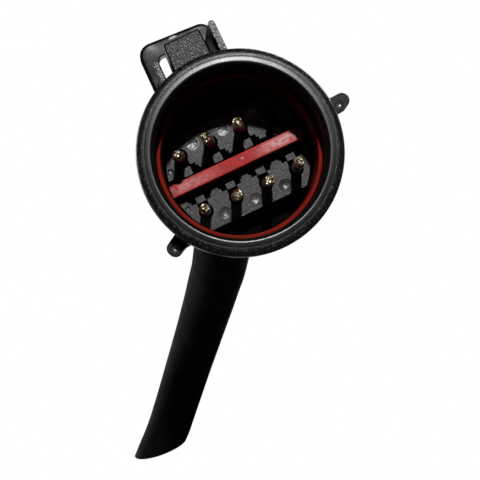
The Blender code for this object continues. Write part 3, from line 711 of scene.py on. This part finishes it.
def turned(profile, steps=180, closed=True):
    """Spins (radius, depth) points about the Y axis. An open profile starts and ends on the axis."""
    shape = bmesh.new()
    points = [shape.verts.new((radius, depth, 0.0)) for radius, depth in profile]
    edges = [shape.edges.new(pair) for pair in zip(points, points[1:])]
    if closed:
        edges.append(shape.edges.new((points[-1], points[0])))
    bmesh.ops.spin(
        shape, geom=points + edges, cent=(0, 0, 0), axis=(0, 1, 0), angle=math.tau, steps=steps,
        use_merge=True,
    )
    bmesh.ops.remove_doubles(shape, verts=shape.verts, dist=1e-4)
    return shape


def prism(outline, start, end, along="Y"):
    """Extrudes a flat outline. Its points are (x, z) along Y and (x, y) along Z."""
    step = Vector((0, end - start, 0)) if along == "Y" else Vector((0, 0, end - start))
    shape = bmesh.new()
    corners = [(a, start, b) if along == "Y" else (a, b, start) for a, b in outline]
    face = shape.faces.new([shape.verts.new(corner) for corner in corners])
    moved = bmesh.ops.extrude_face_region(shape, geom=[face])["geom"]
    bmesh.ops.translate(shape, vec=step, verts=[v for v in moved if isinstance(v, bmesh.types.BMVert)])
    return shape


def box(low_x, high_x, low_z, high_z, start, end):
    """A square-edged block between two depths."""
    return prism([(low_x, low_z), (high_x, low_z), (high_x, high_z), (low_x, high_z)], start, end)


def rod(x, z, radius, start, end, steps=32):
    """A round bar along Y."""
    return prism(arc((x, z), radius, 0, 360 * (steps - 1) / steps, steps - 1), start, end)


def ball(centre, radius):
    """A sphere with its poles on Y."""
    shape = bmesh.new()
    bmesh.ops.create_uvsphere(shape, u_segments=32, v_segments=24, radius=radius)
    bmesh.ops.rotate(shape, matrix=Matrix.Rotation(math.radians(90), 3, "X"), verts=shape.verts)
    bmesh.ops.translate(shape, vec=centre, verts=shape.verts)
    return shape


def combined(first, second, operation):
    """The union or the difference of two shapes, as a new shape."""
    items = []
    for shape in (first, second):
        bmesh.ops.recalc_face_normals(shape, faces=shape.faces)
        items.append(add_mesh("tool", shape))
    step = items[0].modifiers.new("combine", "BOOLEAN")
    step.operation = operation
    step.object = items[1]
    result = bmesh.new()
    result.from_object(items[0], bpy.context.evaluated_depsgraph_get())
    for item in items:
        mesh = item.data
        bpy.data.objects.remove(item, do_unlink=True)
        bpy.data.meshes.remove(mesh)
    return result


def contact_x(number):
    """X of a contact, counted from 1 at the left of its row."""
    return (number - (PLACES_IN_ROW + 1) / 2) * PIN_PITCH


def lead_line():
    """The lead's middle line, as a smooth curve through the route's points."""
    knots = [Vector((x, NOZZLE_REAR + y, z)) for x, y, z in LEAD_ROUTE]
    ends = [2 * knots[0] - knots[1], *knots, 2 * knots[-1] - knots[-2]]
    fine = []
    for before, here, ahead, after in zip(ends, ends[1:], ends[2:], ends[3:]):
        slope = ahead - before
        bend = 2 * before - 5 * here + 4 * ahead - after
        twist = 3 * here - before - 3 * ahead + after
        for step in range(CURVE_STEPS):
            t = step / CURVE_STEPS
            fine.append((2 * here + slope * t + bend * t ** 2 + twist * t ** 3) / 2)
    return [*fine, knots[-1]]


def evenly(points, spacing):
    """Points on a line at even steps of about that spacing."""
    lengths = [(b - a).length for a, b in zip(points, points[1:])]
    count = round(sum(lengths) / spacing)
    step = sum(lengths) / count
    placed = [points[0]]
    walked = 0.0
    for first, last, length in zip(points, points[1:], lengths):
        while len(placed) < count and walked + length >= step * len(placed):
            placed.append(first.lerp(last, (step * len(placed) - walked) / length))
        walked += length
    return [*placed, points[-1]]


def line_places(points):
    """Places along a line, turned as little as possible from one point to the next."""
    side = Vector((1, 0, 0))
    places = []
    for index, point in enumerate(points):
        before = points[max(index - 1, 0)]
        after = points[min(index + 1, len(points) - 1)]
        forward = (after - before).normalized()
        side = (side - forward * side.dot(forward)).normalized()
        places.append(Place(point, forward, side, side.cross(forward)))
    return places


def loft(rings, cap_ends=True):
    """Closed skin over rings that have as many points each. Without caps the last ring joins the first."""
    shape = bmesh.new()
    loops = [[shape.verts.new(point) for point in points] for points in rings]
    if not cap_ends:
        loops.append(loops[0])
    for first, last in zip(loops, loops[1:]):
        for side in range(len(first)):
            ahead = (side + 1) % len(first)
            shape.faces.new((first[side], first[ahead], last[ahead], last[side]))
    if cap_ends:
        for loop in (loops[0], loops[-1]):
            shape.faces.new(loop)
    return shape


def ring(place, radius, sides=56):
    """Points round one place of a line."""
    point, _, side, up = place
    angles = [math.tau * number / sides for number in range(sides)]
    return [point + side * radius * math.cos(a) + up * radius * math.sin(a) for a in angles]


def slanted(points, place, slant):
    """Pushes points along the lead by their distance to one side, so that they lie on a slanted cut."""
    forward = place.forward
    # The cut was read off the photo, so its direction starts from the camera's left.
    left = -Vector(CAMERA_FORWARD).cross(Vector(CAMERA_UP))
    left = (left - forward * left.dot(forward)).normalized()
    turn = math.radians(CUT_TURN)
    across = left * math.cos(turn) + forward.cross(left) * math.sin(turn)
    return [p + forward * slant * (CUT_OFFSET + (p - place.point).dot(across)) for p in points]


def cut_ring(end, radius, lift, sides=56, aside=(0, 0, 0)):
    """A ring on the lead's slanted cut, moved aside and then lifted along the lead."""
    points = [p + Vector(aside) for p in ring(end, radius, sides)]
    return [p + end.forward * lift for p in slanted(points, end, CUT_SLANT)]


def add_lead(jacket, rubber, copper, filler, wires):
    """The lead with its boot and its wire ends."""
    lead, middles, end = add_jacket(jacket)
    ends = add_wire_ends(end, copper, filler, wires)
    boot = add_boot(rubber)


def add_jacket(material):
    """The lead's jacket. Returns it, the middles of its rings behind the nozzle and the place of its end."""
    radius = LEAD_DIAMETER / 2
    inside = [Vector((0, LEAD_INSIDE, 0)), Vector((0, LEAD_INSIDE + 1, 0))]
    places = line_places([*inside, *evenly(lead_line(), LEAD_SPACING)])
    end = places[-1]
    rings = []
    for number, place in enumerate(places, 1):
        to_end = LEAD_SPACING * (len(places) - number)
        slant = CUT_SLANT * max(0.0, 1 - to_end / CUT_FADE)
        rings.append(slanted(ring(place, radius), place, slant))
    middles = [sum(points, Vector()) / len(points) for points in rings[len(inside):]]
    rings += [
        cut_ring(end, radius - 0.15, 0.12), cut_ring(end, JACKET_BORE + 0.15, 0.12),
        cut_ring(end, JACKET_BORE, 0.0), cut_ring(end, JACKET_BORE, -0.6),
    ]
    lead = add_piece("lead_jacket", loft(rings), material)
    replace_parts(lead, "lead_cable")
    return lead, middles, end


def add_wire_ends(end, copper, filler, wires):
    """What the slanted cut shows: filler, and wires whose bare strands stand out a little."""
    shape = loft([cut_ring(end, FILLER_RADIUS, lift) for lift in FILLER_ENDS])
    ends = [add_piece("lead_filler", shape, filler)]
    for number, (name, insulation) in enumerate(wires, 1):
        angle = math.tau * (number - 1) / (len(wires) - 1)
        reach = WIRE_CIRCLE if number < len(wires) else 0.0
        aside = (end.side * math.cos(angle) + end.up * math.sin(angle)) * reach
        wire = loft([cut_ring(end, WIRE_RADIUS, lift, WIRE_SIDES, aside) for lift in WIRE_ENDS])
        ends.append(soften(add_piece(f"wire_end_{number}", wire, insulation), 0.06, 2))
        strand = loft([cut_ring(end, STRAND_RADIUS, lift, WIRE_SIDES, aside) for lift in STRAND_ENDS])
        ends.append(soften(add_piece(f"strand_end_{number}", strand, copper), 0.08, 2))
    return ends


def add_boot(rubber):
    """Ribbed sleeve round the lead's first stretch. The ribs get lower towards its rear."""
    places = line_places(evenly(lead_line(), BOOT_SPACING))[slice(*BOOT_STEPS)]
    front, rear = BOOT_RADII
    total = len(places) - 1
    outside, inside = [], []
    for number, place in enumerate(places):
        share = number / total
        outer = front + (rear - front) * share
        fullness = (outer - BOOT_PLAIN) / (front - BOOT_PLAIN)
        valley = 0.5 - 0.5 * math.cos(math.tau * BOOT_RIBS * share)
        edge = min(1.0, number / 2, (total - number) / 2)
        outer -= BOOT_VALLEY * fullness * valley ** 2 + BOOT_EDGE * (1 - edge)
        outside.append(ring(place, outer))
        inside.append(ring(place, BOOT_BORE))
    boot = add_piece("boot", loft([*outside, *reversed(inside)], cap_ends=False), rubber)
    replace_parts(boot, "strain_relief_boot")
    return boot


def add_body(plastic, grainy, bore):
    """The shell's turned body: mouth, rim with its groove and rounded edge, and the stepped bore."""
    crest, crown = MOUTH_RADIUS + 0.06, LAND_RADIUS + 0.13
    # The lip falls off faster into the mouth than towards the land's edge.
    lip = [(crest - 0.06 * step, 0.9 * (0.06 * step) ** 2, 0) for step in (4, 3, 2, 1)]
    lip += [(crest + 0.1 * step, 0.009 * step + 0.0009 * step ** 2, 0) for step in range(7)]
    groove = [(LAND_RADIUS, 0.10, 0.02), (LAND_RADIUS + 0.02, 0.20, 0.02), (crown - 0.03, 0.20, 0.02)]
    bend = [
        (crown + (RIM_RADIUS - crown) * math.sin(a), 0.09 + 1.2 * (1 - math.cos(a)), 0) for a in quarter(12)
    ]
    outside = [
        (RIM_RADIUS, RIM_REAR, 0.35), (BODY_RADIUS, RIM_REAR, 0.30),
        (BODY_RADIUS - BODY_TAPER, BODY_REAR, 0.30),
    ]
    inside = [
        (SOCKET_RADIUS, BODY_REAR, 0.25), (SOCKET_RADIUS, LEDGE_REAR, 0.10),
        (LEDGE_RADIUS, LEDGE_REAR, 0.12), (LEDGE_RADIUS, LEDGE_FRONT, 0.12),
        (BORE_RADIUS, LEDGE_FRONT, 0.10),
    ]
    corners = [(BORE_RADIUS, 0.9, 0.1), *lip, *groove, *bend, *outside, *inside]
    body = add_piece("shell_body", turned(rounded(corners)), plastic, sharp=50)
    body.data.materials.append(grainy)
    body.data.materials.append(bore)
    # The rim outside its groove is grainy, with bright specks that are painted glints, and the bore has a
    # finish of its own.
    for face in body.data.polygons:
        radius = math.hypot(face.center.x, face.center.z) / MM
        depth = face.center.y / MM
        if radius > LAND_RADIUS + 0.06 and depth < 1.4:
            face.material_index = 1
        elif radius < MOUTH_RADIUS - 0.2 and depth > 0.1:
            face.material_index = 2
    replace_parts(body, "shell")


def add_loop(plastic, pale):
    """The clip's loop, rounder outside than in its window, with a small raised mark on its top bar whose
    pale colour is a painted glint.
    """
    left, right = LOOP_SIDES
    left_top, right_top = LOOP_TOPS
    low, high = LOOP_WINDOW_SIDES
    arch = rounded([
        (LOOP_LEFT_FOOT, LOOP_FOOT, 0), (left, left_top, LOOP_CORNER),
        (right, right_top, LOOP_CORNER), (right, LOOP_FOOT, 0),
        (high, LOOP_FOOT, 0), (high, LOOP_WINDOW_TOP, LOOP_WINDOW_CORNER),
        (low, LOOP_WINDOW_TOP, LOOP_WINDOW_CORNER), (low, LOOP_FOOT, 0),
    ], 10)
    shape = prism(arch, LOOP_FRONT, LOOP_REAR)
    roundness = shape.edges.layers.float.new("bevel_weight_edge")
    shape.normal_update()
    # The edges of the front and rear faces are rounded, those of the window less than the others.
    for edge in shape.edges:
        first, last = (point.co for point in edge.verts)
        if edge.calc_face_angle(0.0) > math.radians(60) and abs(first.y - last.y) < 0.01:
            in_window = abs(first.x) < 4.0 and first.z < LOOP_WINDOW_TOP + 0.06
            edge[roundness] = 0.3 if in_window else 1.0
    loop = add_piece("clip_loop", shape, plastic)
    soften(loop, 0.55, 4).modifiers["soft edges"].limit_method = "WEIGHT"
    # The mark's pale colour is a painted glint.
    mark = ball((0, 0, 0), 1.0)
    bmesh.ops.scale(mark, vec=MARK_HALVES, verts=mark.verts)
    bmesh.ops.translate(mark, vec=MARK_PLACE, verts=mark.verts)
    add_piece("clip_painted_glint_mark", mark, pale)


def add_rails(rough, dull):
    """The clip's two rails. Only their front faces and their rounded edges are textured; their other faces
    are near-black as painted shade.
    """
    for rail in RAILS:
        wall = rounded([
            (rail.low, RAIL_FOOT, 0), (rail.high, RAIL_FOOT, 0),
            (rail.high, rail.top, rail.corner), (rail.low, rail.top, rail.corner),
        ])
        shape = prism(wall, CLIP_FRONT, RAIL_REAR)
        for point in shape.verts:
            if point.co.y > CLIP_FRONT + 1 and point.co.z > RAIL_FOOT + 1:
                point.co.z += rail.rise
        item = add_piece(rail.name, shape, rough)
        # Painted shade: faces behind the front take a near-black dull finish.
        paint_deeper(item, (CLIP_FRONT + 0.1, dull))
        soften(item, 0.12, 3, 0)


def add_post(plastic):
    """The post that holds the tongue's root."""
    post = box(-POST_HALF, POST_HALF, POST_FOOT, POST_TOP, POST_FRONT, RAIL_REAR)
    soften(add_piece("tongue_post", post, plastic), 0.25)


def add_tongue(textured, dull):
    """Latch tongue: a thick head on an arm. Only the head's front face is textured."""
    left, right = HEAD_LOW_ENDS
    outline = [(left, HEAD_LOW), (right, HEAD_LOW), (HEAD_TOP_HALF, HEAD_TOP), (-HEAD_TOP_HALF, HEAD_TOP)]
    head = prism(outline, CLIP_FRONT, HEAD_REAR)
    arm = box(-ARM_HALF, ARM_HALF, ARM_LOW, ARM_TOP, ARM_FRONT, ARM_REAR)
    # The head's front is textured, with bright specks that are painted glints.
    tongue = add_piece("tongue_piece", combined(head, arm, "UNION"), textured, "tongue")
    paint_deeper(tongue, (CLIP_FRONT + 0.1, dull))
    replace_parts(soften(tongue, 0.32, 3, 1), "latch_tongue")


def add_lugs(plastic, polished, dull):
    """Two round-ended side lugs with a small polished hollow in each front face, lighter as a painted
    highlight.
    """
    for number, lug in enumerate(LUGS, 1):
        upper, lower = LUG_HALF + lug.upper_root, -LUG_HALF - LUG_LOWER_ROOT
        outline = [
            (LUG_FOOT, upper), *arc((BODY_RADIUS + lug.upper_root, upper), lug.upper_root, 180, 270, 10),
            *arc((lug.tip - LUG_HALF, 0), LUG_HALF, 90, -90, 20),
            *arc((BODY_RADIUS + LUG_LOWER_ROOT, lower), LUG_LOWER_ROOT, 90, 180, 10), (LUG_FOOT, lower),
        ]
        hollow = ball((lug.hollow_reach, LUG_FRONT - HOLLOW_LIFT, lug.hollow_shift), HOLLOW_RADIUS)
        shape = combined(prism(outline, LUG_FRONT, LUG_REAR), hollow, "DIFFERENCE")
        turn = Matrix.Rotation(-math.radians(lug.angle), 4, "Y")
        bmesh.ops.transform(shape, matrix=turn, verts=shape.verts)
        item = add_piece(f"side_lug_{number}", shape, plastic)
        # The hollows take the lighter polished finish, a painted highlight.
        paint_deeper(item, (LUG_FRONT + 0.01, polished), (LUG_FRONT + 0.6, dull))
        soften(item, 0.22, 3, 2)


def add_seal(silicone):
    """Sleeve with two soft ribs inside and a rounded front edge."""
    inside = []
    first, last = SEAL_RIBBED
    for step in range(61):
        depth = first + (last - first) * step / 60
        ribs = [math.exp(-((depth - middle) / SEAL_RIB_WIDTH) ** 2) for middle in SEAL_RIBS]
        inside.append((SEAL_INSIDE - SEAL_RIB_HEIGHT * sum(ribs), depth, 0))
    neck_front, neck_rear = SEAL_NECK
    shoulder_front, shoulder_rear = SEAL_SHOULDER
    corners = [
        (SEAL_ROOT, SEAL_REAR, 0.05), (SEAL_ROOT, neck_rear, 0.2), (SEAL_INSIDE, neck_front, 0.2), *inside,
        (SEAL_INSIDE, SEAL_FRONT, 0.14), (SEAL_BULGE, SEAL_FRONT, 0.14), (SEAL_BULGE, shoulder_front, 0.5),
        (FLANGE_RADIUS, shoulder_rear, 0.5), (FLANGE_RADIUS, SEAL_REAR, 0.05),
    ]
    seal = add_piece("seal_sleeve", turned(rounded(corners)), silicone, sharp=60)
    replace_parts(seal, "face_seal")


def add_block(grained, polished, dull):
    """Terminal block with its flats, flange, wedge slot, lock windows, fingers and dimples."""
    edge = math.degrees(math.asin(BLOCK_FLAT / BLOCK_RADIUS))
    nose = [
        *arc((0, 0), BLOCK_RADIUS, -edge, edge, 40), *arc((0, 0), BLOCK_RADIUS, 180 - edge, 180 + edge, 40),
    ]
    profile = [
        (0, FLANGE_FRONT), (FLANGE_RADIUS, FLANGE_FRONT), (FLANGE_RADIUS, FLANGE_REAR), (0, FLANGE_REAR),
    ]
    flange = turned(profile, 120, closed=False)
    shape = combined(prism(nose, FACE_DEPTH, FLANGE_FRONT + OVERLAP), flange, "UNION")
    start = FACE_DEPTH - OVERLAP
    window_end = FACE_DEPTH + WINDOW_DEPTH
    finger_end = FACE_DEPTH + FINGER_LENGTH
    cuts = [
        box(-SLOT_END, SLOT_END, -SLOT_HALF, SLOT_HALF, start, SLOT_REAR),
        box(-SLOT_END, SLOT_END, -LANE_HALF, LANE_HALF, start, window_end),
    ]
    fingers = []
    for row, height in ROWS.items():
        side = math.copysign(1, height)
        span = sorted((side * FINGER_ROOT, side * FINGER_REACH[row]))
        for number in range(1, PLACES_IN_ROW + 1):
            x = contact_x(number)
            cuts.append(prism(lock_window(x, side), start, window_end))
            cuts.append(rod(x, height, PIN_BORE, FACE_DEPTH + PIN_BORE_START, FLANGE_REAR + OVERLAP))
            fingers.append(box(x - FINGER_HALF, x + FINGER_HALF, *span, FACE_DEPTH, finger_end))
    for tool in [*cuts, *dimple_tools()]:
        shape = combined(shape, tool, "DIFFERENCE")
    for tool in fingers:
        shape = combined(shape, tool, "UNION")
    block = add_piece("block_insert", shape, grained)
    # The dimple bowls take a lighter copy as a painted highlight; faces deeper still take a near-black copy
    # as painted shade.
    paint_deeper(block, (FACE_DEPTH + 0.005, polished), (FACE_DEPTH + SMALL_DIMPLE_DEPTH, dull))
    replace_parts(soften(block, 0.07, 2), "terminal_block")


def lock_window(x, side):
    """Outline of a stepped opening: a wide window by the wedge, a narrower step, a channel to the pin."""
    low, high = WINDOW_SPAN
    right = [
        (WINDOW_HALF, low), (WINDOW_HALF, high), (STEP_HALF, high), (STEP_HALF, STEP_END),
        (CHANNEL_HALF, STEP_END),
    ]
    left = [(-a, b) for a, b in right]
    meet = math.degrees(math.acos(CHANNEL_HALF / HOLE_RADIUS))
    hole = arc((0, ROW_HEIGHT), HOLE_RADIUS, -meet, 180 + meet, 28)
    outline = [left[0], *right, *hole, *reversed(left[1:])]
    return [(x + a, side * b) for a, b in outline]


def dimple_tools():
    """Balls that cut the dimples: in each row large ones between the pins, and a small one at each end."""
    small_x, small_z = SMALL_DIMPLE_PLACE
    tools = []
    for height, depth in DIMPLES:
        spots = [(x, height, DIMPLE_RADIUS, depth) for x in (-PIN_PITCH, 0.0, PIN_PITCH)]
        beside = math.copysign(small_z, height)
        spots += [(x, beside, SMALL_DIMPLE_RADIUS, SMALL_DIMPLE_DEPTH) for x in (-small_x, small_x)]
        for x, z, radius, deep in spots:
            bowl = (radius ** 2 + deep ** 2) / (2 * deep)
            tools.append(ball((x, FACE_DEPTH + deep - bowl, z), bowl))
    return tools


def add_wedge(plastic):
    """Bar across the face with ends that slope down."""
    low, high = WEDGE_LEVEL
    left_slope, right_slope = WEDGE_SLOPES
    step_front, step_rear = WEDGE_STEP
    outline = rounded([
        (-WEDGE_LEFT_END, WEDGE_FRONT + left_slope, 0.2), (low, WEDGE_FRONT, 0.4),
        (high, WEDGE_FRONT, 0.4), (WEDGE_END, WEDGE_FRONT + right_slope, 0.2),
        (WEDGE_END, WEDGE_REAR, 0.2), (-WEDGE_END, WEDGE_REAR, 0.2),
        (-WEDGE_END, step_rear, 0.1), (-WEDGE_LEFT_END, step_front, 0.1),
    ])
    shape = prism(outline, -WEDGE_HALF, WEDGE_HALF, "Z")
    wedge = add_piece("wedge_bar", shape, plastic, "wedge")
    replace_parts(soften(wedge, 0.20), "wedge_lock")


def pin_profile():
    """(radius, depth) points of a contact, close enough along its shaft to let it lean."""
    land = PIN_TIP + RING_DEPTH
    wider = PIN_RADIUS - RING_RADIUS
    crown = [(TIP_RADIUS * math.sin(a), PIN_TIP + TIP_LENGTH * (1 - math.cos(a))) for a in quarter(8)]
    step = [(TIP_RADIUS + 0.02, land - 0.04), (RING_RADIUS, land)]
    nose = [(RING_RADIUS + wider * math.sin(a), land + NOSE_LENGTH * (1 - math.cos(a))) for a in quarter(8)]
    shaft = [(PIN_RADIUS, SHAFT_FRONT + number) for number in range(10)]
    stop = [
        (PIN_RADIUS, STOP_FRONT), (STOP_RADIUS, STOP_FRONT),
        (STOP_RADIUS, STOP_REAR), (PIN_RADIUS, STOP_REAR),
    ]
    crimp = [
        (PIN_RADIUS, CRIMP_FRONT), (CRIMP_RADIUS, CRIMP_FRONT),
        (CRIMP_RADIUS, CRIMP_REAR), (0, CRIMP_REAR),
    ]
    return [*crown, *step, *nose[1:], *shaft, *stop, *crimp]


def add_pins(metal):
    """Turned contact pins that lean aside in front of the block's face."""
    for (row, number), (lean_x, lean_z) in PIN_LEAN.items():
        shape = turned(pin_profile(), 48, closed=False)
        for point in shape.verts:
            share = max(0.0, (FACE_DEPTH - point.co.y) / (FACE_DEPTH - PIN_TIP))
            point.co.x += contact_x(number) + lean_x * share
            point.co.z += ROWS[row] + lean_z * share
        pin = add_piece(f"contact_{row}_{number}", shape, metal)
        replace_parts(pin, f"pin_{row}_{number}")


def add_cover(plastic):
    """Rear cover: a skirt inside the shell, a flange, a cone and the lead's nozzle."""
    flange = BODY_RADIUS - BODY_TAPER
    corners = [
        (COVER_INSIDE, SKIRT_FRONT, 0.1), (SKIRT_RADIUS, SKIRT_FRONT, 0.2), (SKIRT_RADIUS, COVER_FRONT, 0.1),
        (flange, COVER_FRONT, 0.25), (flange, CONE_FRONT, 0.3),
        (NOZZLE_RADIUS, NOZZLE_FRONT, 0.6), (NOZZLE_RADIUS, NOZZLE_REAR, 0.3),
        (NOZZLE_BORE, NOZZLE_REAR, 0.15), (NOZZLE_BORE, NOZZLE_FRONT, 0.2), (COVER_INSIDE, CONE_FRONT, 0.2),
    ]
    cover = add_piece("cover_cone", turned(rounded(corners)), plastic)
    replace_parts(cover, "rear_cover")


def paint_node(name, material):
    """Gives a CAD node that stays shown its procedural finish."""
    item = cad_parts[name]
    item.data.materials.clear()
    item.data.materials.append(material)


def main():
    bpy.context.scene.view_settings.view_transform = "Standard"
    add_camera()
    add_lights()
    add_world()
    add_floor()
    looks = {name: moulded(name, **look) for name, look in MOULDED.items()}
    wires = [(name, insulation_finish(name, colour)) for name, colour in INSULATION.items()]
    silicone = seal_finish()
    add_lead(jacket_finish(), looks["boot_rubber"], copper_finish(), looks["lead_filler"], wires)
    add_body(looks["shell_plastic"], looks["rim_grain_and_painted_glints"], looks["bore_plastic"])
    add_loop(looks["loop_plastic"], looks["painted_glint_mark"])
    add_rails(looks["rail_texture_and_painted_glints"], looks["window_plastic_painted_shade"])
    add_post(looks["loop_plastic"])
    add_tongue(looks["latch_texture_and_painted_glints"], looks["bore_plastic"])
    add_lugs(looks["lug_plastic"], looks["dimple_plastic_painted_highlight"], looks["bore_plastic"])
    add_seal(silicone)
    add_block(looks["block_plastic"], looks["dimple_plastic_painted_highlight"], looks["window_plastic_painted_shade"])
    add_wedge(wedge_finish())
    add_pins(metal_finish())
    add_cover(looks["shell_plastic"])
    for name in ("wire_seal", "cavity_plug"):
        paint_node(name, silicone)
    paint_node("seal_retainer", looks["shell_plastic"])
    for (row, number), (_, insulation) in zip(PIN_LEAN, wires):
        paint_node(f"core_wire_{row}_{number}", insulation)


main()
